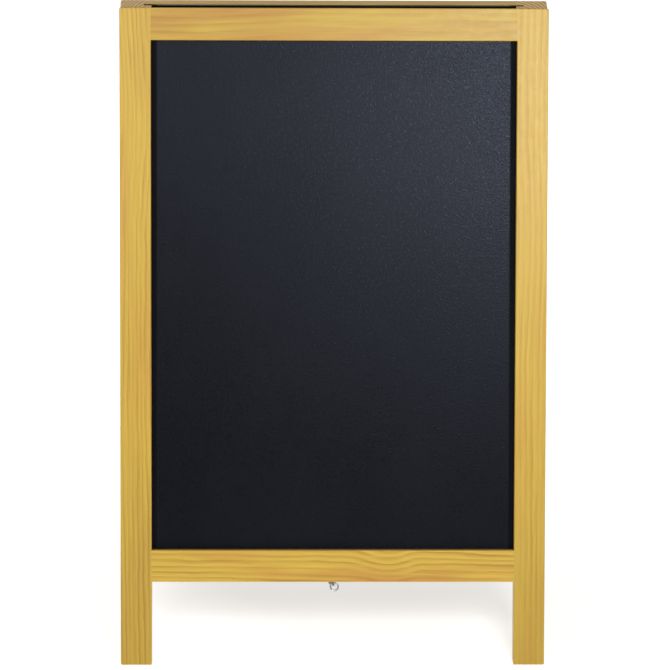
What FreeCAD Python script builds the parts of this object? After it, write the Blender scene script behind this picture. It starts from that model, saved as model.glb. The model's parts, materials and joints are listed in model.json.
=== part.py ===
"""Folding pavement board: two wooden frames hinged at the top, each holding a lift-out chalk panel.

Every frame is drawn in its own upright axes: X across, Z up along the stiles, the hinge pin's axis
along X through the origin. A frame's Placement lifts the pin to its real height and leans the frame.
Side -1 is the front frame, side +1 is the rear one; hand -1 is the left, hand +1 is the right.
"""
import FreeCAD, Part
import math
import os
import Sketcher

FRONT, REAR = -1, 1
LEFT, RIGHT = -1, 1
X_AXIS = FreeCAD.Vector(1, 0, 0)

# Millimetres and degrees.
SIZES = (
    ("frame_width", 550, "across both stiles"),
    ("frame_length", 850, "stile along its outer face, top to toe"),
    ("frame_thickness", 22, "stiles and bottom rail, outer face to inner face"),
    ("lean", 15, "tilt of each frame when the board stands open"),
    ("stile_width", 40, "face width of a stile"),
    ("top_rail_height", 41.5, "face height of the top rail"),
    ("bottom_rail_height", 41.5, "face height of the bottom rail"),
    ("leg_length", 109, "stile below the bottom rail, along the outer face"),
    ("long_edge_round", 1.2, "eased long edges"),
    ("corner_round", 2, "eased corners at the ends of a stile"),
    ("opening_bevel", 0.8, "stopped bevel round the opening"),
    ("panel_thickness", 4, "chalk panel"),
    ("panel_play", 0.25, "room on each face of the panel in its groove"),
    ("panel_side_play", 1, "room beside each edge of the panel"),
    ("panel_top_drop", 0.5, "panel's upper edge below the stile tops"),
    ("panel_edge_bevel", 0.5, "broken edges of the panel"),
    ("outer_lip", 11, "wood in front of the panel, and so the top rail's thickness"),
    ("groove_depth", 10, "groove in the stiles and in the bottom rail"),
    ("dowel_length", 50, "half in the stile, half in the rail"),
    ("dowel_end_gap", 1, "hole beyond each end of a dowel"),
    ("dowel_play", 0.05, "glue line round a dowel"),
    ("dowel_bevel", 1, "tapered end of a dowel"),
    ("top_dowel_radius", 3, "dowels of the top rail"),
    ("top_dowel_edge", 11, "dowel axis from each edge of the top rail"),
    ("bottom_dowel_radius", 4, "dowels of the bottom rail"),
    ("bottom_dowel_edge", 9, "lower dowel's axis from the rail's lower edge"),
    ("bottom_dowel_cover", 7, "upper dowel's axis below the groove floor"),
    ("closed_gap", 6, "space between the frames when they are folded shut"),
    ("top_play", 0.3, "room between the frames' top edges when open"),
    ("hinge_length", 25, "hinge along its pin"),
    ("hinge_inset", 2.5, "hinge in from the stile's outer edge"),
    ("leaf_drop", 22, "lower edge of a leaf below the pin"),
    ("leaf_thickness", 1.5, "steel leaf"),
    ("knuckle_play", 0.25, "knuckle clear of both frames when shut"),
    ("knuckle_length", 9, "middle knuckle"),
    ("knuckle_gap", 0.3, "between neighbouring knuckles"),
    ("knuckle_notch", 0.6, "leaf's edge below its neighbour's knuckle"),
    ("pin_radius", 1.5, "hinge pin"),
    ("pin_play", 0.05, "running room round the pin"),
    ("pin_overhang", 0.6, "pin beyond each end of the hinge"),
    ("screw_drop", 13, "hinge screws below the pin"),
    ("screw_spacing", 14, "between the two screws of a leaf"),
    ("screw_radius", 1.5, "shank of a hinge screw"),
    ("screw_head_radius", 2.8, "countersunk head"),
    ("screw_neck", 0.2, "leaf left under the countersink"),
    ("screw_length", 15, "head to point"),
    ("screw_point", 3, "tapered point"),
    ("screw_play", 0.05, "room round a screw"),
    ("screw_slot_width", 0.8, "slot in the head"),
    ("screw_slot_depth", 0.6, "slot in the head"),
    ("hook_wire_radius", 1.2, "wire of the screw hook and the screw eye"),
    ("hook_ring_radius", 5, "ring of the hook and the eye, to the middle of the wire"),
    ("hook_drop", 1.8, "ring below the rail's lower edge"),
    ("hook_offset", 2, "hook and eye to the right of the middle"),
    ("hook_depth", 14, "shank inside the rail"),
    ("hook_gap_start", 97, "turn from level to the near edge of the hook's opening"),
    ("hook_gap_end", 114, "turn from level to the far edge of the hook's opening"),
    ("hook_point", 0.9, "taper at the shank's end"),
    ("chain_wire_radius", 1.2, "wire of a link"),
    ("link_pitch", 14, "inside length of a link"),
    ("link_width", 9, "outside width of a link"),
    ("link_play", 0.2, "least room between neighbouring links"),
    ("chain_rise", 1, "between the chain's end and the slope of the rail's underside"),
    ("chain_seat", 136, "turn from level to where an end link sits on its ring"),
    ("chain_roll", 25, "turn of the end links about the chain"),
)

# Distances from the hinge pin, on the frame's own axes.
INNER_FACE = "(Dims.closed_gap / 2)"
OUTER_FACE = "(Dims.closed_gap / 2 + Dims.frame_thickness)"
MIDDLE = "(Dims.closed_gap / 2 + Dims.frame_thickness / 2)"
GROOVE_FRONT = f"({OUTER_FACE} - Dims.outer_lip)"
GROOVE_BACK = f"({GROOVE_FRONT} - Dims.panel_thickness - 2 * Dims.panel_play)"
PANEL_FRONT = f"({GROOVE_FRONT} - Dims.panel_play)"
PANEL_BACK = f"({GROOVE_BACK} + Dims.panel_play)"
TOP = "((Dims.closed_gap / 2 - Dims.top_play) / tan(Dims.lean))"
TOE = f"({TOP} - Dims.frame_length)"
HEEL = f"({TOE} + Dims.frame_thickness * tan(Dims.lean))"
TOP_RAIL_LOWER = f"({TOP} - Dims.top_rail_height)"
BOTTOM_RAIL_LOWER = f"({TOE} + Dims.leg_length)"
BOTTOM_RAIL_UPPER = f"({BOTTOM_RAIL_LOWER} + Dims.bottom_rail_height)"
GROOVE_FLOOR = f"({BOTTOM_RAIL_UPPER} - Dims.groove_depth)"
PIN_HEIGHT = f"(-{TOE} * cos(Dims.lean) - {OUTER_FACE} * sin(Dims.lean))"
OPENING_WIDTH = "(Dims.frame_width - 2 * Dims.stile_width)"
PANEL_WIDTH = f"({OPENING_WIDTH} + 2 * Dims.groove_depth - 2 * Dims.panel_side_play)"
HINGE_OUTER = "(Dims.frame_width / 2 - Dims.hinge_inset)"
HINGE_MIDDLE = f"({HINGE_OUTER} - Dims.hinge_length / 2)"
KNUCKLE_RADIUS = "(Dims.closed_gap / 2 - Dims.knuckle_play)"
LEAF_UPPER = f"(-{KNUCKLE_RADIUS} - Dims.knuckle_notch)"
LEAF_FACE = f"({INNER_FACE} - Dims.leaf_thickness)"
RING_MIDDLE = f"({BOTTOM_RAIL_LOWER} - Dims.hook_drop - Dims.hook_wire_radius - Dims.hook_ring_radius)"

doc = FreeCAD.newDocument("FoldingBoard")
dims = doc.addObject("Spreadsheet::Sheet", "Dims")
for row, (name, size, note) in enumerate(SIZES, start=1):
    dims.set(f"A{row}", note)
    dims.set(f"B{row}", str(size))
    dims.setAlias(f"B{row}", name)
doc.recompute()

nodes = []


def value(expression):
    """Work out an expression over the sheet as a plain number."""
    result = dims.evalExpression(str(expression))
    return float(getattr(result, "Value", result))


def lean_with(part, side):
    """Put a part drawn on the frame's own axes where the leaning frame stands."""
    turn = f"{side} * Dims.lean"
    height = FreeCAD.Vector(0, 0, value(PIN_HEIGHT))
    part.Placement = FreeCAD.Placement(height, FreeCAD.Rotation(X_AXIS, value(turn)))
    part.setExpression("Placement.Base.z", PIN_HEIGHT)
    part.setExpression("Placement.Rotation.Angle", turn)


def new_body(label, side):
    """Start a sub-part on one of the two frames."""
    body = doc.addObject("PartDesign::Body", label)
    body.Label = label
    body.AllowCompound = True
    lean_with(body, side)
    nodes.append(body)
    return body


def new_sketch(body, role, at=("0", "0", "0")):
    """Lay a sketch on one of the body's own planes, moved by three expressions on the plane's axes."""
    sketch = body.newObject("Sketcher::SketchObject", f"{body.Label}_sketch")
    plane = [feature for feature in body.Origin.OriginFeatures if feature.Role == role][0]
    sketch.AttachmentSupport = [(plane, "")]
    sketch.MapMode = "FlatFace"
    for axis, expression in zip("xyz", at):
        sketch.setExpression(f"AttachmentOffset.Base.{axis}", expression)
    return sketch


def place_point(sketch, curve, end, name, point):
    """Tie a point of the sketch to two expressions."""
    for kind, expression in zip("XY", point):
        number = sketch.addConstraint(
            Sketcher.Constraint(f"Distance{kind}", -1, 1, curve, end, value(expression)))
        sketch.renameConstraint(number, f"{name}_{kind.lower()}")
        sketch.setExpression(f"Constraints.{name}_{kind.lower()}", str(expression))


def draw_outline(sketch, corners):
    """Draw a closed outline of straight edges through the corners."""
    first = sketch.GeometryCount
    points = [FreeCAD.Vector(value(across), value(up), 0) for across, up in corners]
    for start, end in zip(points, points[1:] + points[:1]):
        sketch.addGeometry(Part.LineSegment(start, end), False)
    for corner in range(len(points)):
        following = first + (corner + 1) % len(points)
        sketch.addConstraint(Sketcher.Constraint("Coincident", first + corner, 2, following, 1))
    for corner, point in enumerate(corners):
        place_point(sketch, first + corner, 1, f"corner_{first + corner}", point)


def draw_box(sketch, near, far):
    """Draw a rectangle between two opposite corners."""
    draw_outline(sketch, [near, (far[0], near[1]), far, (near[0], far[1])])


def draw_circle(sketch, centre, radius):
    """Draw a circle with its centre and radius tied to expressions."""
    middle = FreeCAD.Vector(value(centre[0]), value(centre[1]), 0)
    curve = sketch.addGeometry(Part.Circle(middle, FreeCAD.Vector(0, 0, 1), value(radius)), False)
    place_point(sketch, curve, 3, f"centre_{curve}", centre)
    number = sketch.addConstraint(Sketcher.Constraint("Radius", curve, value(radius)))
    sketch.renameConstraint(number, f"radius_{curve}")
    sketch.setExpression(f"Constraints.radius_{curve}", str(radius))


def add_feature(body, kind, sketch, **settings):
    """Add a sketch-based feature; text settings are expressions. It must change the body's volume."""
    doc.recompute()
    before = body.Shape.Volume if body.Tip else 0.0
    feature = body.newObject(f"PartDesign::{kind}", f"{body.Label}_{kind.lower()}")
    feature.Profile = sketch
    for name, setting in settings.items():
        if isinstance(setting, str):
            feature.setExpression(name, setting)
        else:
            setattr(feature, name, setting)
    body.Tip = feature
    doc.recompute()
    change = body.Shape.Volume - before
    removes = kind in ("Pocket", "Groove")
    if (removes and change >= 0) or (not removes and change <= 0):
        raise RuntimeError(f"{feature.Label} changes nothing")
    return feature


def pad(body, sketch, length):
    """Add material along the sketch plane's normal."""
    return add_feature(body, "Pad", sketch, Length=length)


def cut(body, sketch, length):
    """Remove material along the sketch plane's normal."""
    return add_feature(body, "Pocket", sketch, Reversed=True, Length=length)


def dress_edges(body, kind, size, wanted):
    """Round or bevel the edges that pass the test on their middle point and their direction."""
    doc.recompute()
    base = body.Tip
    names = []
    for number, edge in enumerate(base.Shape.Edges, start=1):
        middle = edge.valueAt((edge.FirstParameter + edge.LastParameter) / 2)
        along = edge.tangentAt((edge.FirstParameter + edge.LastParameter) / 2)
        if wanted(edge, middle, along):
            names.append(f"Edge{number}")
    if not names:
        raise RuntimeError(f"{body.Label} has no edge to dress")
    feature = body.newObject(f"PartDesign::{kind}", f"{body.Label}_{kind.lower()}")
    feature.Base = (base, names)
    feature.setExpression("Radius" if kind == "Fillet" else "Size", size)
    body.Tip = feature
    doc.recompute()


def near(one, other):
    """Say whether two lengths are the same."""
    return abs(one - other) < 0.001


def make_stile(label, side, hand):
    """One upright: bevelled foot, panel groove, dowel holes, hinge screw holes, eased edges."""
    body = new_body(label, side)
    low_x = f"({hand} * (Dims.frame_width - Dims.stile_width) / 2 - Dims.stile_width / 2)"
    joint_x = f"({hand} * {OPENING_WIDTH} / 2)"
    profile = new_sketch(body, "YZ_Plane", ("0", "0", low_x))
    draw_outline(profile, [
        (f"{side} * {INNER_FACE}", TOP),
        (f"{side} * {OUTER_FACE}", TOP),
        (f"{side} * {OUTER_FACE}", TOE),
        (f"{side} * {INNER_FACE}", HEEL)])
    pad(body, profile, "Dims.stile_width")

    outer_x = value(f"{hand} * Dims.frame_width / 2")
    inner_x = value(joint_x)
    dress_edges(body, "Fillet", "Dims.corner_round",
                lambda edge, middle, along: near(middle.x, outer_x) and abs(along.z) < 0.5)
    dress_edges(body, "Fillet", "Dims.long_edge_round",
                lambda edge, middle, along: not near(middle.x, inner_x) and abs(along.y) < 0.01)

    # Stopped bevels on the two arrises of the opening and of the leg.
    for lower, upper in ((BOTTOM_RAIL_UPPER, TOP_RAIL_LOWER), (HEEL, BOTTOM_RAIL_LOWER)):
        for face, inward in ((OUTER_FACE, -1), (INNER_FACE, 1)):
            bevel = new_sketch(body, "XY_Plane", ("0", "0", lower))
            draw_outline(bevel, [
                (joint_x, f"{side} * {face}"),
                (f"{joint_x} + {hand} * Dims.opening_bevel", f"{side} * {face}"),
                (joint_x, f"{side} * ({face} + {inward} * Dims.opening_bevel)")])
            cut(body, bevel, f"{upper} - {lower}")

    groove_x = joint_x if hand == RIGHT else f"({joint_x} - Dims.groove_depth)"
    groove = new_sketch(body, "YZ_Plane", ("0", "0", groove_x))
    draw_box(groove, (f"{side} * {GROOVE_FRONT}", GROOVE_FLOOR), (f"{side} * {GROOVE_BACK}", TOP))
    cut(body, groove, "Dims.groove_depth")

    depth = "(Dims.dowel_length / 2 + Dims.dowel_end_gap)"
    hole_x = joint_x if hand == RIGHT else f"({joint_x} - {depth})"
    holes = new_sketch(body, "YZ_Plane", ("0", "0", hole_x))
    for centre, radius in dowel_places(side, "top") + dowel_places(side, "bottom"):
        draw_circle(holes, centre, f"{radius} + Dims.dowel_play")
    cut(body, holes, depth)

    for screw_x in screw_places(hand):
        pilot = new_sketch(body, "YZ_Plane", (f"{side} * {INNER_FACE}", "-Dims.screw_drop", screw_x))
        reach = "(Dims.screw_length - Dims.leaf_thickness + Dims.screw_play)"
        draw_box(pilot, ("0", "0"), (f"{side} * {reach}", "Dims.screw_radius + Dims.screw_play"))
        add_feature(body, "Groove", pilot, ReferenceAxis=(pilot, ["H_Axis"]), Angle=360.0)


def dowel_places(side, rail):
    """Centres and radius expressions of the dowels at one end of a rail."""
    if rail == "top":
        depth = f"{side} * ({OUTER_FACE} - Dims.outer_lip / 2)"
        heights = (f"{TOP} - Dims.top_dowel_edge", f"{TOP_RAIL_LOWER} + Dims.top_dowel_edge")
    else:
        depth = f"{side} * {MIDDLE}"
        heights = (f"{BOTTOM_RAIL_LOWER} + Dims.bottom_dowel_edge", f"{GROOVE_FLOOR} - Dims.bottom_dowel_cover")
    return [((depth, height), f"Dims.{rail}_dowel_radius") for height in heights]


def screw_places(hand):
    """Places across the frame of the two screws of a hinge leaf."""
    return [f"({hand} * {HINGE_MIDDLE} + {way} * Dims.screw_spacing / 2)" for way in (LEFT, RIGHT)]


def drill_rail(body, side, rail):
    """Dowel holes in both ends of a rail."""
    depth = "(Dims.dowel_length / 2 + Dims.dowel_end_gap)"
    for start in (f"-{OPENING_WIDTH} / 2", f"{OPENING_WIDTH} / 2 - {depth}"):
        holes = new_sketch(body, "YZ_Plane", ("0", "0", start))
        for centre, radius in dowel_places(side, rail):
            draw_circle(holes, centre, f"{radius} + Dims.dowel_play")
        cut(body, holes, depth)


def make_top_rail(label, side):
    """Thin rail, flush with the outer face, so that the panel slides in behind it from above."""
    body = new_body(label, side)
    profile = new_sketch(body, "YZ_Plane", ("0", "0", f"-{OPENING_WIDTH} / 2"))
    draw_box(profile, (f"{side} * {GROOVE_FRONT}", TOP_RAIL_LOWER), (f"{side} * {OUTER_FACE}", TOP))
    pad(body, profile, OPENING_WIDTH)
    dress_edges(body, "Fillet", "Dims.long_edge_round",
                lambda edge, middle, along: abs(along.x) > 0.99)
    drill_rail(body, side, "top")


def make_bottom_rail(label, side):
    """Full-thickness rail with a groove in its upper edge and a pilot hole for the hook or eye."""
    body = new_body(label, side)
    profile = new_sketch(body, "YZ_Plane", ("0", "0", f"-{OPENING_WIDTH} / 2"))
    draw_box(profile, (f"{side} * {INNER_FACE}", BOTTOM_RAIL_LOWER), (f"{side} * {OUTER_FACE}", BOTTOM_RAIL_UPPER))
    pad(body, profile, OPENING_WIDTH)
    dress_edges(body, "Fillet", "Dims.long_edge_round",
                lambda edge, middle, along: abs(along.x) > 0.99)
    groove = new_sketch(body, "YZ_Plane", ("0", "0", f"-{OPENING_WIDTH} / 2"))
    draw_box(groove, (f"{side} * {GROOVE_FRONT}", GROOVE_FLOOR), (f"{side} * {GROOVE_BACK}", BOTTOM_RAIL_UPPER))
    cut(body, groove, OPENING_WIDTH)
    drill_rail(body, side, "bottom")
    pilot = new_sketch(body, "XY_Plane", ("0", "0", BOTTOM_RAIL_LOWER))
    draw_circle(pilot, ("Dims.hook_offset", f"{side} * {MIDDLE}"), "Dims.hook_wire_radius + Dims.screw_play")
    cut(body, pilot, "Dims.hook_depth + Dims.screw_play")


def make_panel(label, side):
    """Chalk panel that stands in the bottom rail's groove and reaches into both stiles."""
    body = new_body(label, side)
    profile = new_sketch(body, "YZ_Plane", ("0", "0", f"-{PANEL_WIDTH} / 2"))
    draw_box(profile, (f"{side} * {PANEL_BACK}", GROOVE_FLOOR),
             (f"{side} * {PANEL_FRONT}", f"{TOP} - Dims.panel_top_drop"))
    pad(body, profile, PANEL_WIDTH)
    dress_edges(body, "Chamfer", "Dims.panel_edge_bevel",
                lambda edge, middle, along: abs(along.y) < 0.01)


def make_dowels(label, side, rail):
    """The four dowels of one rail."""
    body = new_body(label, side)
    for hand in (LEFT, RIGHT):
        start = f"{hand} * {OPENING_WIDTH} / 2 - Dims.dowel_length / 2"
        rods = new_sketch(body, "YZ_Plane", ("0", "0", start))
        for centre, radius in dowel_places(side, rail):
            draw_circle(rods, centre, radius)
        pad(body, rods, "Dims.dowel_length")
    radius = value(f"Dims.{rail}_dowel_radius")
    dress_edges(body, "Chamfer", "Dims.dowel_bevel",
                lambda edge, middle, along: near(edge.Length, 2 * math.pi * radius))


def make_leaf(label, side, hand):
    """Hinge leaf: plate on the stile's inner face, knuckles round the pin, two countersunk holes."""
    body = new_body(label, side)
    start = f"({hand} * {HINGE_MIDDLE} - Dims.hinge_length / 2)"
    plate = new_sketch(body, "YZ_Plane", ("0", "0", start))
    draw_box(plate, (f"{side} * {LEAF_FACE}", "-Dims.leaf_drop"), (f"{side} * {INNER_FACE}", LEAF_UPPER))
    pad(body, plate, "Dims.hinge_length")
    dress_edges(body, "Fillet", "Dims.leaf_thickness",
                lambda edge, middle, along: abs(along.y) > 0.99 and near(middle.z, -value("Dims.leaf_drop")))

    middle_start = f"({start} + (Dims.hinge_length - Dims.knuckle_length) / 2)"
    outer_length = "((Dims.hinge_length - Dims.knuckle_length) / 2 - Dims.knuckle_gap)"
    if side == FRONT:
        last = f"({middle_start} + Dims.knuckle_length + Dims.knuckle_gap)"
        knuckles = ((start, outer_length), (last, outer_length))
    else:
        knuckles = ((middle_start, "Dims.knuckle_length"),)
    for place, length in knuckles:
        tab = new_sketch(body, "YZ_Plane", ("0", "0", place))
        draw_box(tab, (f"{side} * {LEAF_FACE}", LEAF_UPPER), (f"{side} * {KNUCKLE_RADIUS}", "0"))
        pad(body, tab, length)
        knuckle = new_sketch(body, "YZ_Plane", ("0", "0", place))
        draw_circle(knuckle, ("0", "0"), KNUCKLE_RADIUS)
        pad(body, knuckle, length)
    bore = new_sketch(body, "YZ_Plane", ("0", "0", start))
    draw_circle(bore, ("0", "0"), "Dims.pin_radius + Dims.pin_play")
    cut(body, bore, "Dims.hinge_length")

    for screw_x in screw_places(hand):
        hole = new_sketch(body, "YZ_Plane", (f"{side} * {LEAF_FACE}", "-Dims.screw_drop", screw_x))
        draw_outline(hole, [
            ("0", "0"),
            ("0", "Dims.screw_head_radius + Dims.screw_play"),
            (f"{side} * (Dims.leaf_thickness - Dims.screw_neck)", "Dims.screw_radius + Dims.screw_play"),
            (f"{side} * Dims.leaf_thickness", "Dims.screw_radius + Dims.screw_play"),
            (f"{side} * Dims.leaf_thickness", "0")])
        add_feature(body, "Groove", hole, ReferenceAxis=(hole, ["H_Axis"]), Angle=360.0)


def make_screws(label, side, hand):
    """The two slotted countersunk screws of one leaf."""
    body = new_body(label, side)
    for screw_x in screw_places(hand):
        profile = new_sketch(body, "YZ_Plane", (f"{side} * {LEAF_FACE}", "-Dims.screw_drop", screw_x))
        draw_outline(profile, [
            ("0", "0"),
            ("0", "Dims.screw_head_radius"),
            (f"{side} * (Dims.leaf_thickness - Dims.screw_neck)", "Dims.screw_radius"),
            (f"{side} * (Dims.screw_length - Dims.screw_point)", "Dims.screw_radius"),
            (f"{side} * Dims.screw_length", "0")])
        add_feature(body, "Revolution", profile, ReferenceAxis=(profile, ["H_Axis"]), Angle=360.0)
        slot = new_sketch(body, "YZ_Plane",
                          (f"{side} * {LEAF_FACE}", "-Dims.screw_drop", f"{screw_x} - Dims.screw_head_radius"))
        draw_box(slot, ("0", "-Dims.screw_slot_width / 2"),
                 (f"{side} * Dims.screw_slot_depth", "Dims.screw_slot_width / 2"))
        cut(body, slot, "2 * Dims.screw_head_radius")


def make_pin(label, hand):
    """Hinge pin with bevelled ends."""
    body = new_body(label, FRONT)
    rod = new_sketch(
        body, "YZ_Plane", ("0", "0", f"{hand} * {HINGE_MIDDLE} - Dims.hinge_length / 2 - Dims.pin_overhang"))
    draw_circle(rod, ("0", "0"), "Dims.pin_radius")
    pad(body, rod, "Dims.hinge_length + 2 * Dims.pin_overhang")
    dress_edges(body, "Chamfer", "Dims.pin_overhang / 2",
                lambda edge, middle, along: abs(along.x) < 0.01)


def make_ring(label, side):
    """Wire ring under a bottom rail, with its shank up in the rail."""
    body = new_body(label, side)
    wire = new_sketch(body, "YZ_Plane", (f"{side} * {MIDDLE}", RING_MIDDLE, "Dims.hook_offset"))
    draw_circle(wire, ("0", "Dims.hook_ring_radius"), "Dims.hook_wire_radius")
    add_feature(body, "Revolution", wire, ReferenceAxis=(wire, ["H_Axis"]), Angle=360.0)
    shank = new_sketch(body, "XY_Plane", ("0", "0", f"{RING_MIDDLE} + Dims.hook_ring_radius"))
    draw_circle(shank, ("Dims.hook_offset", f"{side} * {MIDDLE}"), "Dims.hook_wire_radius")
    pad(body, shank, f"{BOTTOM_RAIL_LOWER} + Dims.hook_depth - {RING_MIDDLE} - Dims.hook_ring_radius")
    end_z = value(f"{BOTTOM_RAIL_LOWER} + Dims.hook_depth")
    dress_edges(body, "Chamfer", "Dims.hook_point",
                lambda edge, middle, along: near(middle.z, end_z))
    return body


def open_ring(body, side):
    """Cut the opening through which a chain's end link is lifted off."""
    ring_width = "2 * (Dims.hook_ring_radius + Dims.hook_wire_radius)"
    wire_front = f"-({side} * {MIDDLE}) - 2 * Dims.hook_wire_radius"
    wedge = new_sketch(body, "XZ_Plane", ("Dims.hook_offset", RING_MIDDLE, wire_front))
    draw_outline(wedge, [("0", "0")] + [
        (f"{ring_width} * cos(Dims.{edge})", f"{ring_width} * sin(Dims.{edge})")
        for edge in ("hook_gap_start", "hook_gap_end")])
    cut(body, wedge, "4 * Dims.hook_wire_radius")


def make_link():
    """One oval link on the XY plane, its length along Y."""
    wire = value("Dims.chain_wire_radius")
    bend = value("Dims.link_width / 2") - wire
    straight = value("Dims.link_pitch") - 2 * (bend - wire)
    pieces = []
    for way in (-1, 1):
        foot = FreeCAD.Vector(way * bend, -straight / 2, 0)
        pieces.append(Part.makeCylinder(wire, straight, foot, FreeCAD.Vector(0, 1, 0)))
        end = Part.makeTorus(bend, wire, FreeCAD.Vector(), FreeCAD.Vector(0, 0, 1), -180, 180, 180)
        if way < 0:
            end.rotate(FreeCAD.Vector(), FreeCAD.Vector(0, 0, 1), 180)
        end.translate(FreeCAD.Vector(0, way * straight / 2, 0))
        pieces.append(end)
    return pieces[0].multiFuse(pieces[1:]).removeSplitter()


def make_chain(label, hook):
    """Chain that hangs in an arc from the hook's ring to the eye's ring, every second link turned."""
    seat = FreeCAD.Vector(
        value("Dims.hook_offset + Dims.hook_ring_radius * cos(Dims.chain_seat)"),
        -value(MIDDLE),
        value(f"{RING_MIDDLE} + Dims.hook_ring_radius * sin(Dims.chain_seat)"))
    start = hook.Placement.multVec(seat)
    half_turn = math.radians(value("Dims.lean - Dims.chain_rise"))
    arc_radius = -start.y / math.sin(half_turn)
    arc_middle = start.z + arc_radius * math.cos(half_turn)
    reach = value("Dims.link_pitch / 2 - Dims.hook_wire_radius - Dims.link_play")
    between = 2 * half_turn * arc_radius - 2 * reach
    steps = 2 * math.ceil(between / (2 * value("Dims.link_pitch - Dims.link_play")))
    link = make_link()
    links = []
    for number in range(steps + 1):
        turn = -half_turn + (reach + between * number / steps) / arc_radius
        middle = FreeCAD.Vector(
            start.x,
            arc_radius * math.sin(turn),
            arc_middle - arc_radius * math.cos(turn))
        roll = FreeCAD.Rotation(FreeCAD.Vector(0, 1, 0), value("Dims.chain_roll") + 90 * (number % 2))
        slope = FreeCAD.Rotation(X_AXIS, math.degrees(turn))
        links.append(link.transformed(FreeCAD.Placement(middle, slope * roll).toMatrix(), copy=True))
    chain = doc.addObject("Part::Feature", label)
    chain.Label = label
    chain.Shape = Part.makeCompound(links)
    chain.Placement = FreeCAD.Placement()
    nodes.append(chain)


for side, frame in ((FRONT, "front"), (REAR, "rear")):
    for hand, name in ((LEFT, "left"), (RIGHT, "right")):
        make_stile(f"{frame}_stile_{name}", side, hand)
    make_top_rail(f"{frame}_top_rail", side)
    make_bottom_rail(f"{frame}_bottom_rail", side)
    make_panel(f"{frame}_panel", side)
    for rail in ("top", "bottom"):
        make_dowels(f"{frame}_{rail}_dowels", side, rail)
    for hand, name in ((LEFT, "left"), (RIGHT, "right")):
        make_leaf(f"hinge_{name}_{frame}_leaf", side, hand)
        make_screws(f"hinge_{name}_{frame}_screws", side, hand)
for hand, name in ((LEFT, "left"), (RIGHT, "right")):
    make_pin(f"hinge_{name}_pin", hand)
screw_hook = make_ring("screw_hook", FRONT)
open_ring(screw_hook, FRONT)
make_ring("screw_eye", REAR)
make_chain("chain", screw_hook)

doc.recompute()
for thing in doc.Objects:
    if "Invalid" in thing.State or "Error" in thing.State:
        raise RuntimeError(f"{thing.Label} failed")
for node in nodes:
    if node.Shape.isNull() or not node.Shape.isValid():
        raise RuntimeError(f"{node.Label} has no valid shape")
os.makedirs("parts", exist_ok=True)
for node in nodes:
    node.Shape.exportStep(f"parts/{node.Label}.step")
    print(f"{node.Label}: {len(node.Shape.Solids)} solid, {node.Shape.Volume / 1000:.2f} cm3")
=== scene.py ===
import json
import math

import bmesh
import bpy
from mathutils import Euler, Matrix, Quaternion, Vector
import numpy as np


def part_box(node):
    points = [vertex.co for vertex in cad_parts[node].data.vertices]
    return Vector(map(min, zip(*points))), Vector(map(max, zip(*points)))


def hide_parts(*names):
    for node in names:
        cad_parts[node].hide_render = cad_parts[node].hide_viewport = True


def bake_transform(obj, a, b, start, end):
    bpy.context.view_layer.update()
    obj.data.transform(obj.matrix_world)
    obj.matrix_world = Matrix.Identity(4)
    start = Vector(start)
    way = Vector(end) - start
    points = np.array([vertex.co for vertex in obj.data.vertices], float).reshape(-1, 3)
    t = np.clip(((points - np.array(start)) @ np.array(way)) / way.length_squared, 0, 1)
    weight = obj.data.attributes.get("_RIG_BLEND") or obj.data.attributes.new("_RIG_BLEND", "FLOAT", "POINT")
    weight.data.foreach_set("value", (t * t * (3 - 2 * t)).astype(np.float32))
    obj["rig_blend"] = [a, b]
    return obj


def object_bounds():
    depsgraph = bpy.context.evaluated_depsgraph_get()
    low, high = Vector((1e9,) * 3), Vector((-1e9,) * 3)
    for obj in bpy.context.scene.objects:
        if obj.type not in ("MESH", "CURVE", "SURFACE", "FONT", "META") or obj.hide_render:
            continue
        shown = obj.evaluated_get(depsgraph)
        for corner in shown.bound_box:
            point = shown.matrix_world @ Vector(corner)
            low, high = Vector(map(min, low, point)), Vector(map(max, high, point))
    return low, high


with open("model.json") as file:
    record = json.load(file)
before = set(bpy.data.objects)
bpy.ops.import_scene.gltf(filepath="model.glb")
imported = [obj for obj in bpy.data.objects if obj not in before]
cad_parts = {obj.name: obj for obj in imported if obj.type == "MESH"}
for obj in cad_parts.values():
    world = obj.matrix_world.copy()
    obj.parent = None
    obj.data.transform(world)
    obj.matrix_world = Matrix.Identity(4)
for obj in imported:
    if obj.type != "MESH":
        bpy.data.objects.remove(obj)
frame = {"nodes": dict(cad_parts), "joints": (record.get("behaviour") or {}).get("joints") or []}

cad_box = [list(corner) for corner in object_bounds()]
MM = 0.001  # Pattern sizes below are in millimetres, and the scene is in metres.

# The fold joint gives the hinge pin's place, and half its range is the lean of each frame.
fold = [joint for joint in frame["joints"] if joint["name"] == "fold"][0]
PIN = Vector(fold["pos_m"])
LEAN = math.radians(fold["range_deg"][1]) / 2
FRONT, REAR = -1, 1

# Sockets of a colour Mix node.
SHARE, FIRST, SECOND, MIXED = 0, 6, 7, 2


def linear(hex_colour):
    """Turn an sRGB hex colour into the linear colour that shaders take."""
    parts = [int(hex_colour[start:start + 2], 16) / 255 for start in (1, 3, 5)]
    return tuple(c / 12.92 if c <= 0.04045 else ((c + 0.055) / 1.055) ** 2.4 for c in parts) + (1.0,)


def add(tree, kind, inputs=None, **settings):
    """Add a node: settings are its properties, inputs are plain values or sockets to link from."""
    node = tree.nodes.new("ShaderNode" + kind)
    for name, setting in settings.items():
        setattr(node, name, setting)
    for name, source in (inputs or {}).items():
        if isinstance(source, bpy.types.NodeSocket):
            tree.links.new(source, node.inputs[name])
        else:
            node.inputs[name].default_value = source
    return node


def new_material(name):
    """Start an empty node material."""
    material = bpy.data.materials.new(name)
    material.use_nodes = True
    material.node_tree.nodes.clear()
    return material


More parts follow.
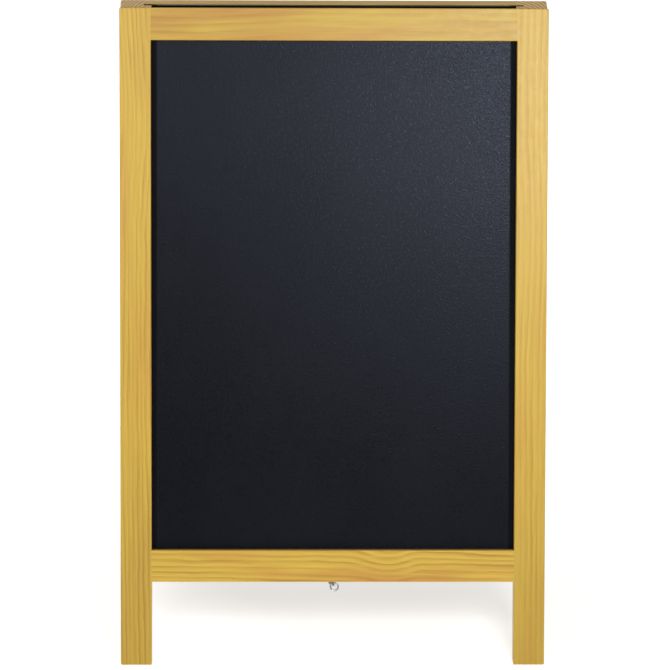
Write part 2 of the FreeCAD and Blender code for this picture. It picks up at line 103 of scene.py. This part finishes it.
def finish_material(tree, height, height_mm, **shader_inputs):
    """Close a material with one Principled shader, bumped by a height pattern."""
    bump = add(tree, "Bump", {"Height": height, "Strength": 1.0, "Distance": height_mm * MM})
    inputs = {name.replace("_", " "): setting for name, setting in shader_inputs.items()}
    shader = add(tree, "BsdfPrincipled", {**inputs, "Normal": bump.outputs["Normal"]})
    add(tree, "OutputMaterial", {"Surface": shader.outputs["BSDF"]})


def place_in_mm(tree):
    """Each point's place in millimetres on the part's own axes."""
    place = add(tree, "TexCoord").outputs["Object"]
    return add(tree, "Mapping", {"Vector": place, "Scale": (1 / MM, 1 / MM, 1 / MM)}).outputs["Vector"]


def cells(tree, place, size, shift=(0, 0, 0), detail=2.0, roughness=0.5):
    """Soft random pattern whose cells have the given sizes in mm along the three axes."""
    scaled = add(tree, "Mapping", {
        "Vector": place, "Scale": [1 / side for side in size], "Location": shift})
    return add(tree, "TexNoise", {
        "Vector": scaled.outputs["Vector"], "Scale": 1.0, "Detail": detail, "Roughness": roughness})


def cover(node, material):
    """Give a CAD part one material."""
    slots = frame["nodes"][node].data.materials
    slots.clear()
    slots.append(material)


# Lacquered pine: planed, stained honey yellow and sprayed. Growth rings show as soft darker lines along
# each board and as arcs on its sawn ends, which drank more lacquer and look duller and browner.
EARLY_WOOD = "#D6B24A"
LATE_WOOD = "#B28532"
WARM_WOOD = "#CB9546"
END_EARLY = "#EFC886"
END_LATE = "#B8925A"
FIBRE_CELL = (1.2, 1.2, 60)  # Bundles of fibres, drawn about four times too wide so that they show.
FIBRE_SHADES = (0.87, 1.09)  # Brightness of the darkest and the palest fibres.
WANDER_CELL = (26, 26, 340)  # How gently the rings stray along a board.
PATCH_CELL = (30, 30, 200)  # Orange clouds.
FADE_CELL = (11, 11, 260)  # Stretches where the rings show strongly or hardly at all.
FADE_LEAST = 0.2
SCUFF_CELL = (7, 7, 12)  # Patches of duller and glossier lacquer.
WAVE_PERIOD = math.pi / 10  # Ring spacing of the wave texture at scale 1.
LACQUER_ROUGHNESS = (0.34, 0.46)
SAWN_END_ROUGHER = 0.22
LACQUER_RIPPLE_MM = 0.10
RING_SINKS = 0.35  # The lacquer sinks a little over the dark lines.
PAINTED_SHADE_REACH = 0.32  # Painted shade: the wood is darkened towards the feet in place of the light falling off lower down, reach in m.
PAINTED_SHADE_AT_FEET = 0.88


def pine_board(node, side, lies_flat, pith, ring_gap, slant, wander_mm, streak, warmth, tone, knot):
    """Lacquered pine on one board.

    lies_flat: the grain runs across the frame and not up it. pith: the tree's centre from the board's
    own centre, across the face and through the thickness, mm. ring_gap: mm between growth rings.
    slant: degrees between grain and board, seen on the face and on the edge. wander_mm: how far the
    rings stray. streak: strength of the dark lines. warmth: share of orange clouds. tone: brightness.
    knot: a hidden knot that the rings bow round: its place along the grain, reach and push, mm.
    """
    material = new_material(f"lacquered_pine_{node}")
    tree = material.node_tree
    low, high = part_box(node)
    stood_up = Matrix.Rotation(-side * LEAN, 3, "X")
    turned = Matrix.Rotation(math.radians(-90 if lies_flat else 0), 3, "Y")
    slanted = Euler((math.radians(slant[1]), math.radians(slant[0]), 0)).to_matrix()
    grain = slanted @ turned @ stood_up
    middle = (low + high) / 2 / MM
    place = add(tree, "TexCoord")
    board = add(tree, "Mapping", {
        "Vector": place.outputs["Object"], "Scale": (1 / MM, 1 / MM, 1 / MM),
        "Rotation": grain.to_euler(), "Location": -(grain @ middle)}).outputs["Vector"]

    # Growth rings round the pith, straying a little along the board and bowed round the knot. Each ring
    # darkens slowly and ends sharply.
    astray = cells(tree, board, WANDER_CELL, (pith[0], pith[1], ring_gap), 3.0)
    astray = add(tree, "VectorMath", {0: astray.outputs["Color"], 1: (0.5, 0.5, 0.5)}, operation="SUBTRACT")
    astray = add(tree, "VectorMath", {
        0: astray.outputs["Vector"], 1: (2 * wander_mm, 2 * wander_mm, 0), 2: board},
        operation="MULTIPLY_ADD")
    along = add(tree, "SeparateXYZ", {"Vector": board}).outputs["Z"]
    from_knot = add(tree, "Math", {0: along, 1: knot[0]}, operation="SUBTRACT")
    reach = add(tree, "Math", {0: from_knot.outputs["Value"]}, operation="ABSOLUTE")
    bow = add(tree, "MapRange", {
        "Value": reach.outputs["Value"], "From Min": 0.0, "From Max": knot[1],
        "To Min": knot[2], "To Max": 0.0}, interpolation_type="SMOOTHSTEP")
    pushed = add(tree, "CombineXYZ", {"X": bow.outputs["Result"]})
    astray = add(tree, "VectorMath", {
        0: astray.outputs["Vector"], 1: pushed.outputs["Vector"]}, operation="ADD")
    from_pith = add(tree, "VectorMath", {
        0: astray.outputs["Vector"], 1: (pith[0], pith[1], 0)}, operation="SUBTRACT")
    rings = add(tree, "TexWave", {
        "Vector": from_pith.outputs["Vector"], "Scale": WAVE_PERIOD / ring_gap,
        "Distortion": 1.2, "Detail": 2.0, "Detail Scale": 0.5},
        wave_type="RINGS", rings_direction="Z", wave_profile="SAW").outputs["Fac"]
    darkens = add(tree, "MapRange", {
        "Value": rings, "From Min": 0.2, "From Max": 0.8}, interpolation_type="SMOOTHSTEP")
    ends = add(tree, "MapRange", {
        "Value": rings, "From Min": 0.82, "From Max": 1.0, "To Min": 1.0, "To Max": 0.0},
        interpolation_type="SMOOTHSTEP")
    late = add(tree, "Math", {
        0: darkens.outputs["Result"], 1: ends.outputs["Result"]}, operation="MULTIPLY").outputs["Value"]

    fibre = cells(tree, board, FIBRE_CELL, (pith[1], pith[0], 0), 4.0, 0.65).outputs["Fac"]
    patch = cells(tree, board, PATCH_CELL, (ring_gap, pith[0], pith[1])).outputs["Fac"]
    patch = add(tree, "MapRange", {
        "Value": patch, "From Min": 0.42, "From Max": 0.68, "To Max": warmth}).outputs["Result"]

    # Some rings are plain and some hardly show.
    fade = cells(tree, board, FADE_CELL, (pith[1], ring_gap, pith[0])).outputs["Fac"]
    fade = add(tree, "MapRange", {
        "Value": fade, "From Min": 0.36, "From Max": 0.64, "To Min": FADE_LEAST * streak,
        "To Max": streak})
    lines = add(tree, "Math", {0: late, 1: fade.outputs["Result"]}, operation="MULTIPLY").outputs["Value"]
    face = add(tree, "Mix", {
        SHARE: patch, FIRST: linear(EARLY_WOOD), SECOND: linear(WARM_WOOD)}, data_type="RGBA")
    face = add(tree, "Mix", {
        SHARE: lines, FIRST: face.outputs[MIXED], SECOND: linear(LATE_WOOD)}, data_type="RGBA")
    sawn = add(tree, "Mix", {
        SHARE: late, FIRST: linear(END_EARLY), SECOND: linear(END_LATE)}, data_type="RGBA")

    # Sawn ends face along the grain.
    faces = add(tree, "VectorMath", {
        0: place.outputs["Normal"], 1: grain.transposed() @ Vector((0, 0, 1))}, operation="DOT_PRODUCT")
    faces = add(tree, "Math", {0: faces.outputs["Value"]}, operation="ABSOLUTE")
    is_end = add(tree, "MapRange", {
        "Value": faces.outputs["Value"], "From Min": 0.75, "From Max": 0.95}).outputs["Result"]
    wood = add(tree, "Mix", {
        SHARE: is_end, FIRST: face.outputs[MIXED], SECOND: sawn.outputs[MIXED]}, data_type="RGBA")
    light = add(tree, "MapRange", {
        "Value": fibre, "From Min": 0.25, "From Max": 0.75,
        "To Min": FIBRE_SHADES[0] * tone, "To Max": FIBRE_SHADES[1] * tone})
    # Painted shade: darker towards the feet, standing in for the light falling off lower down.
    height = add(tree, "SeparateXYZ", {"Vector": place.outputs["Object"]}).outputs["Z"]
    painted_shade = add(tree, "MapRange", {
        "Value": height, "From Max": PAINTED_SHADE_REACH, "To Min": PAINTED_SHADE_AT_FEET, "To Max": 1.0})
    light = add(tree, "Math", {
        0: light.outputs["Result"], 1: painted_shade.outputs["Result"]}, operation="MULTIPLY")
    wood = add(tree, "Mix", {
        SHARE: 1.0, FIRST: wood.outputs[MIXED], SECOND: light.outputs["Value"]},
        data_type="RGBA", blend_type="MULTIPLY")

    scuff = cells(tree, board, SCUFF_CELL, (0, 0, 0), 3.0, 0.7).outputs["Fac"]
    dull = add(tree, "MapRange", {
        "Value": scuff, "From Min": 0.3, "From Max": 0.7,
        "To Min": LACQUER_ROUGHNESS[0], "To Max": LACQUER_ROUGHNESS[1]})
    dull = add(tree, "Math", {
        0: is_end, 1: SAWN_END_ROUGHER, 2: dull.outputs["Result"]}, operation="MULTIPLY_ADD")
    ripple = add(tree, "Math", {0: late, 1: -RING_SINKS, 2: fibre}, operation="MULTIPLY_ADD")
    finish_material(tree, ripple.outputs["Value"], LACQUER_RIPPLE_MM,
                    Base_Color=wood.outputs[MIXED], Roughness=dull.outputs["Value"],
                    Specular_IOR_Level=0.28, Coat_Weight=0.12, Coat_Roughness=0.3)
    return material


BOARDS = (
    # node, side, flat, pith, ring gap, slant, wander, streak, warmth, tone, knot
    ("front_stile_left", FRONT, False, (64, 42), 4.6, (0.5, 0.3), 6, 0.7, 0.4, 0.99, (300, 170, -8)),
    ("front_stile_right", FRONT, False, (-80, 46), 6.4, (-0.3, 0.4), 7, 0.5, 0.3, 0.98, (120, 160, -5)),
    ("front_top_rail", FRONT, True, (52, 40), 8.0, (0.6, 0.2), 7, 0.45, 0.85, 0.90, (-40, 130, 5)),
    ("front_bottom_rail", FRONT, True, (46, 34), 5.4, (-1.4, -0.3), 7, 0.8, 0.95, 1.12, (70, 50, -8)),
    ("rear_stile_left", REAR, False, (60, -34), 4.2, (0.8, -0.4), 6, 0.7, 0.4, 0.95, (210, 140, 6)),
    ("rear_stile_right", REAR, False, (-48, -46), 5.2, (-0.9, 0.3), 6, 0.7, 0.3, 0.98, (-90, 110, -8)),
    ("rear_top_rail", REAR, True, (-50, -40), 6.6, (0.6, 0.3), 7, 0.5, 0.6, 0.92, (110, 120, 8)),
    ("rear_bottom_rail", REAR, True, (46, -36), 5.6, (-0.8, 0.2), 7, 0.8, 0.8, 1.05, (-120, 70, -8)),
)
for board in BOARDS:
    cover(board[0], pine_board(*board))


# Chalk coating: a matt blue-black paint rolled on hardboard. It leaves fine pebbles that break up the
# sheen, and old chalk wiped off it leaves the faintest grey clouds.
COATING = "#060608"
CHALK_HAZE = "#0D0E11"
COATING_SHEEN = "#D8E2FF"
PEBBLE_CELL = (2.0, 2.0, 2.0)  # Real pebbles are half as wide; drawn coarser so that they show.
PEBBLE_MM = 0.30
PEBBLE_ROUGHNESS = (0.44, 0.26)  # In the hollows and on the crowns, which get rubbed.
HAZE_CELL = (160, 160, 220)  # Chalk clouds.
BRUSHED_STRIP = 7.0  # Width in mm beside each stile that only the brush reaches, dead matt.
BRUSHED_ROUGHER = 0.5


def chalk_coating():
    """Matt black chalk coating, with a dead matt strip beside each stile."""
    material = new_material("black_chalk_coating")
    tree = material.node_tree
    place = place_in_mm(tree)
    across = add(tree, "SeparateXYZ", {"Vector": place}).outputs["X"]
    across = add(tree, "Math", {0: across}, operation="ABSOLUTE").outputs["Value"]
    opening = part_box("front_stile_right")[0].x / MM
    brushed = add(tree, "MapRange", {
        "Value": across, "From Min": opening - BRUSHED_STRIP - 2, "From Max": opening - BRUSHED_STRIP + 1},
        interpolation_type="SMOOTHSTEP").outputs["Result"]
    pebbles = cells(tree, place, PEBBLE_CELL, (0, 0, 0), 2.0, 0.6).outputs["Fac"]
    haze = cells(tree, place, HAZE_CELL, (3, 1, 2), 4.0, 0.6).outputs["Fac"]
    haze = add(tree, "MapRange", {"Value": haze, "From Min": 0.4, "From Max": 0.75}).outputs["Result"]
    colour = add(tree, "Mix", {
        SHARE: haze, FIRST: linear(COATING), SECOND: linear(CHALK_HAZE)}, data_type="RGBA")
    dull = add(tree, "MapRange", {
        "Value": pebbles, "From Min": 0.3, "From Max": 0.7,
        "To Min": PEBBLE_ROUGHNESS[0], "To Max": PEBBLE_ROUGHNESS[1]})
    dull = add(tree, "Math", {
        0: brushed, 1: BRUSHED_ROUGHER, 2: dull.outputs["Result"]}, operation="MULTIPLY_ADD")
    finish_material(tree, pebbles, PEBBLE_MM, Base_Color=colour.outputs[MIXED],
                    Roughness=dull.outputs["Value"], Specular_IOR_Level=0.21,
                    Specular_Tint=linear(COATING_SHEEN))
    return material


# Beech dowels: turned, bare, with short fine flecks.
BEECH_LIGHT = "#D9B58A"
BEECH_DARK = "#B98F63"
FLECK_CELL = (5, 0.6, 0.6)
FLECK_MM = 0.05


def beech():
    """Bare turned beech."""
    material = new_material("turned_beech")
    tree = material.node_tree
    place = place_in_mm(tree)
    flecks = cells(tree, place, FLECK_CELL, (0, 0, 0), 3.0, 0.6).outputs["Fac"]
    colour = add(tree, "Mix", {
        SHARE: flecks, FIRST: linear(BEECH_DARK), SECOND: linear(BEECH_LIGHT)}, data_type="RGBA")
    finish_material(tree, flecks, FLECK_MM, Base_Color=colour.outputs[MIXED], Roughness=0.6)
    return material


# Zinc-plated steel: bright, slightly blue, clouded by handling, with fine drawing lines.
ZINC_BRIGHT = "#C9CCD0"
ZINC_CLOUD = "#9A9DA1"
ZINC_CELL = (3.5, 3.5, 3.5)
ZINC_ROUGHNESS = (0.24, 0.42)
DRAWN_CELL = (0.25, 2.5, 0.25)
DRAWN_MM = 0.02


def zinc():
    """Zinc-plated steel."""
    material = new_material("zinc_plated_steel")
    tree = material.node_tree
    place = place_in_mm(tree)
    clouds = cells(tree, place, ZINC_CELL, (0, 0, 0), 4.0, 0.6).outputs["Fac"]
    lines = cells(tree, place, DRAWN_CELL, (2, 0, 1), 2.0, 0.6).outputs["Fac"]
    colour = add(tree, "Mix", {
        SHARE: clouds, FIRST: linear(ZINC_BRIGHT), SECOND: linear(ZINC_CLOUD)}, data_type="RGBA")
    dull = add(tree, "MapRange", {
        "Value": clouds, "From Min": 0.3, "From Max": 0.7,
        "To Min": ZINC_ROUGHNESS[0], "To Max": ZINC_ROUGHNESS[1]})
    finish_material(tree, lines, DRAWN_MM, Base_Color=colour.outputs[MIXED],
                    Roughness=dull.outputs["Result"], Metallic=1.0)
    return material


coating, dowel_wood, steel = chalk_coating(), beech(), zinc()
for node in frame["nodes"]:
    if node.endswith("_panel"):
        cover(node, coating)
    elif node.endswith("_dowels"):
        cover(node, dowel_wood)
    elif node.startswith(("hinge_", "screw_")):
        cover(node, steel)


# Chain: welded oval links of zinc-plated wire, each with a slightly swollen weld on one side.
LINK_INSIDE = 14 * MM
LINK_WIDTH = 9 * MM
WIRE = 1.2 * MM  # Radius.
WELD_SWELL = 0.16  # Share of the wire's radius.
WELD_LENGTH = 1.3 * MM
CHAIN_ROLL = math.radians(25)  # Turn of the links about the chain; every other one is turned square to it.
ROUND_STEPS = 14
BEND_STEPS = 14
SIDE_STEPS = 8


def cad_link_middles():
    """Middles of the CAD chain's links, from the front frame to the rear one."""
    mesh = bmesh.new()
    mesh.from_mesh(frame["nodes"]["chain"].data)
    bmesh.ops.remove_doubles(mesh, verts=mesh.verts, dist=MM / 1000)
    left = set(mesh.verts)
    middles = []
    while left:
        found = [left.pop()]
        for vert in found:
            for edge in vert.link_edges:
                other = edge.other_vert(vert)
                if other in left:
                    left.discard(other)
                    found.append(other)
        spans = [[vert.co[axis] for vert in found] for axis in range(3)]
        middles.append(Vector([(min(span) + max(span)) / 2 for span in spans]))
    mesh.free()
    return sorted(middles, key=lambda middle: middle.y)


def link_path():
    """Points, outward directions and wire radii round one oval link lying on the XY plane along Y."""
    bend = LINK_WIDTH / 2 - WIRE
    half = LINK_INSIDE / 2 - (bend - WIRE)
    path = []
    for side in (1, -1):
        for step in range(SIDE_STEPS):
            y = side * (half * (2 * step / SIDE_STEPS - 1))
            swell = WELD_SWELL * math.exp(-(y / WELD_LENGTH) ** 2) if side > 0 else 0
            path.append((Vector((side * bend, y, 0)), Vector((side, 0, 0)), WIRE * (1 + swell)))
        for step in range(BEND_STEPS):
            turn = math.pi * step / BEND_STEPS
            out = Vector((side * math.cos(turn), side * math.sin(turn), 0))
            path.append((out * bend + Vector((0, side * half, 0)), out, WIRE))
    return path


def build_chain():
    """All the links as one piece. Each link keeps its shape, and turns about the hinge by its own share."""
    middles = cad_link_middles()
    path = link_path()
    mesh = bmesh.new()
    share_layer = []
    for number, middle in enumerate(middles):
        before = middles[max(number - 1, 0)]
        after = middles[min(number + 1, len(middles) - 1)]
        slope = Vector((0, 1, 0)).rotation_difference(after - before)
        roll = Quaternion((0, 1, 0), CHAIN_ROLL + math.pi / 2 * (number % 2))
        place = Matrix.Translation(middle) @ (slope @ roll).to_matrix().to_4x4()
        rounds = []
        for point, out, radius in path:
            ring = []
            for step in range(ROUND_STEPS):
                turn = 2 * math.pi * step / ROUND_STEPS
                offset = out * math.cos(turn) + Vector((0, 0, 1)) * math.sin(turn)
                ring.append(mesh.verts.new(place @ (point + offset * radius)))
            rounds.append(ring)
        for one, other in zip(rounds, rounds[1:] + rounds[:1]):
            for step in range(ROUND_STEPS):
                following = (step + 1) % ROUND_STEPS
                mesh.faces.new((one[step], one[following], other[following], other[step])).smooth = True
        share = number / (len(middles) - 1)
        share_layer += [share] * (len(path) * ROUND_STEPS)
    bmesh.ops.recalc_face_normals(mesh, faces=mesh.faces)
    data = bpy.data.meshes.new("chain_links")
    mesh.to_mesh(data)
    mesh.free()
    piece = bpy.data.objects.new("chain_links", data)
    bpy.context.scene.collection.objects.link(piece)
    data.materials.append(steel)
    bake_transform(piece, "front_frame", "rear_frame", start=middles[0], end=middles[-1])
    data.attributes["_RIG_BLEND"].data.foreach_set("value", share_layer)
    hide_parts("chain")


build_chain()


# Studio: a plain white light table, an even pale surround and soft boxes.
FLOOR_WHITE = "#F4F4F3"
FLOOR_SIZE = 60.0
FLOOR_GLOW = 0.66
TOOTH_CELL = (4, 4, 4)
TOOTH_MM = 0.05
LIGHT_WHITE = "#FFFFFF"
SURROUND_TINT = "#FFFBF4"
SURROUND_SEEN = 0.85
SURROUND_LIGHT = 0.145
BOARD_MIDDLE = (0, 0, (cad_box[0][2] + cad_box[1][2]) / 2)
SOFT_BOXES = (
    # name, place, target, side in m, watts
    ("key", (0.484, -1.825, 1.275), (0.2, 0, 0.7), 0.5, 17.5),
    ("fill", (-0.72, -1.62, 1.36), (-0.2, 0, 0.7), 0.5, 7),
    ("top", (0, 2.2, 2.4), (0, 2.2, 0), 2.4, 22),
    ("back", (-1.3, 2.6, 1.9), BOARD_MIDDLE, 1.6, 26),
)


def light_table():
    """Matt white acrylic floor, lit from within so that shadows on it stay faint."""
    mesh = bpy.data.meshes.new("floor")
    half = FLOOR_SIZE / 2
    corners = [(-half, -half, 0), (half, -half, 0), (half, half, 0), (-half, half, 0)]
    mesh.from_pydata(corners, [], [(0, 1, 2, 3)])
    floor = bpy.data.objects.new("floor", mesh)
    bpy.context.scene.collection.objects.link(floor)
    material = new_material("matt_white_acrylic")
    tree = material.node_tree
    place = place_in_mm(tree)
    tooth = cells(tree, place, TOOTH_CELL).outputs["Fac"]
    finish_material(tree, tooth, TOOTH_MM, Base_Color=linear(FLOOR_WHITE), Roughness=0.9,
                    Specular_IOR_Level=0.1, Emission_Color=linear(LIGHT_WHITE),
                    Emission_Strength=FLOOR_GLOW)
    mesh.materials.append(material)


def soft_box(name, place, target, side, watts):
    """Square soft box at a place, facing a target, kept out of the picture."""
    data = bpy.data.lights.new(name, "AREA")
    data.shape = "SQUARE"
    data.size = side
    data.energy = watts
    lamp = bpy.data.objects.new(name, data)
    bpy.context.scene.collection.objects.link(lamp)
    lamp.location = place
    lamp.rotation_euler = (Vector(target) - Vector(place)).to_track_quat("-Z", "Y").to_euler()
    lamp.visible_camera = False


def surround():
    """Even pale surround: white to the eye, dimmer as a light so that the soft boxes shape the board."""
    world = bpy.data.worlds.new("surround")
    bpy.context.scene.world = world
    world.use_nodes = True
    tree = world.node_tree
    tree.nodes.clear()
    path = add(tree, "LightPath")
    seen = add(tree, "Background", {"Color": linear(LIGHT_WHITE), "Strength": SURROUND_SEEN})
    lit = add(tree, "Background", {"Color": linear(SURROUND_TINT), "Strength": SURROUND_LIGHT})
    mixed = add(tree, "MixShader", {
        0: path.outputs["Is Camera Ray"], 1: lit.outputs["Background"], 2: seen.outputs["Background"]})
    add(tree, "OutputWorld", {"Surface": mixed.outputs["Shader"]})


light_table()
surround()
for soft_box_row in SOFT_BOXES:
    soft_box(*soft_box_row)

# Camera: a long lens four metres away, above the board and a few centimetres to its left.
CAMERA_PLACE = (-0.0658, -4.0508, 1.7943)
SENSOR_MM = 36
LENS_MM = 173.2
LOOK_DOWN = math.radians(19.37)
LOOK_RIGHT = math.radians(0.99)
CAMERA_ROLL = math.radians(0.4)
camera_data = bpy.data.cameras.new("camera")
camera_data.sensor_width = SENSOR_MM
camera_data.lens = LENS_MM
camera = bpy.data.objects.new("camera", camera_data)
bpy.context.scene.collection.objects.link(camera)
camera.location = CAMERA_PLACE
camera.rotation_euler = (
    Matrix.Rotation(-LOOK_RIGHT, 3, "Z")
    @ Matrix.Rotation(math.pi / 2 - LOOK_DOWN, 3, "X")
    @ Matrix.Rotation(CAMERA_ROLL, 3, "Z")).to_euler()
bpy.context.scene.camera = camera
bpy.context.scene.view_settings.view_transform = "Standard"
